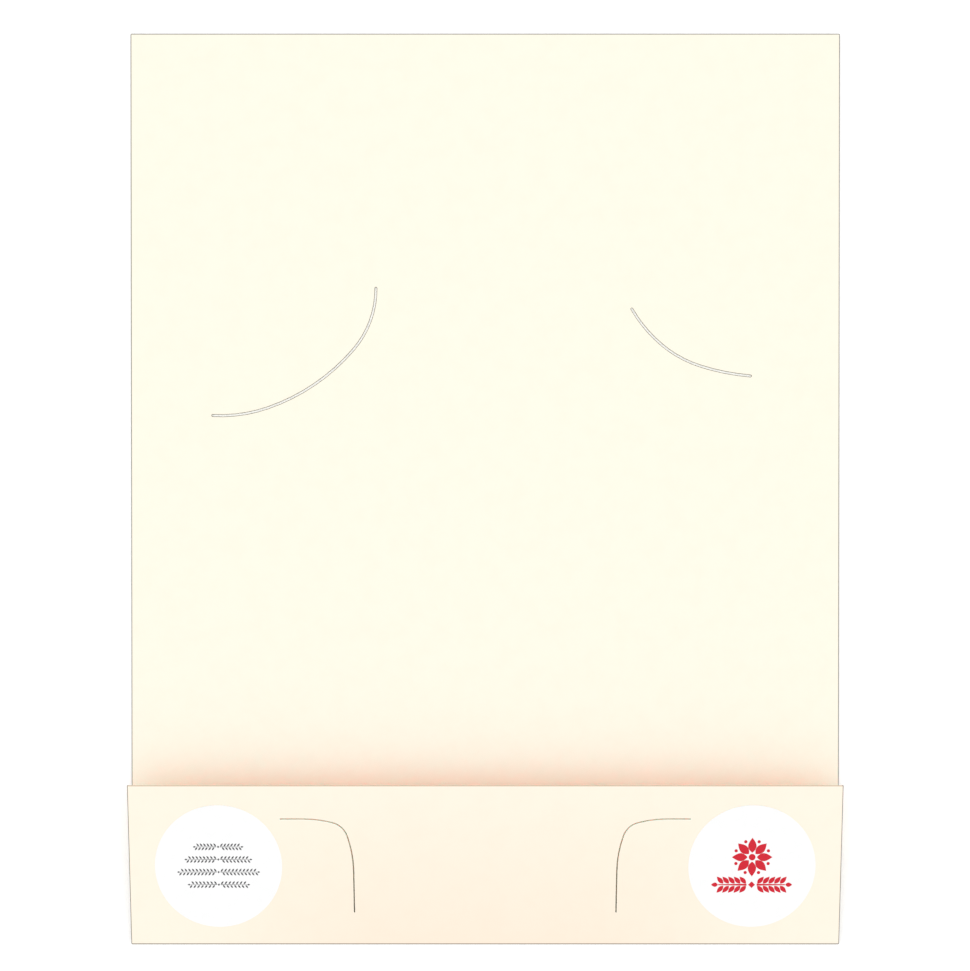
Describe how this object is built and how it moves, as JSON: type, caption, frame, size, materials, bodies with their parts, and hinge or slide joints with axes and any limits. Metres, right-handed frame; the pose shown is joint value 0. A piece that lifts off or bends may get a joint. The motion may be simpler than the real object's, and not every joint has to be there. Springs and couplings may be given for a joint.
{
  "type": "pop-up card insert",
  "caption": "Cream card sheet lying on its back, with a low flap folded up over its front as an open pocket, curved slots, corner-tab slits and round paper labels.",
  "frame": {"origin": "under the middle of the sheet, on the surface that it lies on", "axes": "+X across the sheet along the fold, +Y up the sheet from the fold to the far edge, +Z out of the sheet on the flap's side"},
  "size_m": [0.1778, 0.2286, 0.0082],
  "materials": {
    "cream_card": "matte",
    "white_label": "matte"
  },
  "bodies": {
    "root": {"card_sheet": "cream_card", "left_label": "white_label", "right_label": "white_label"}
  },
  "joints": []
}
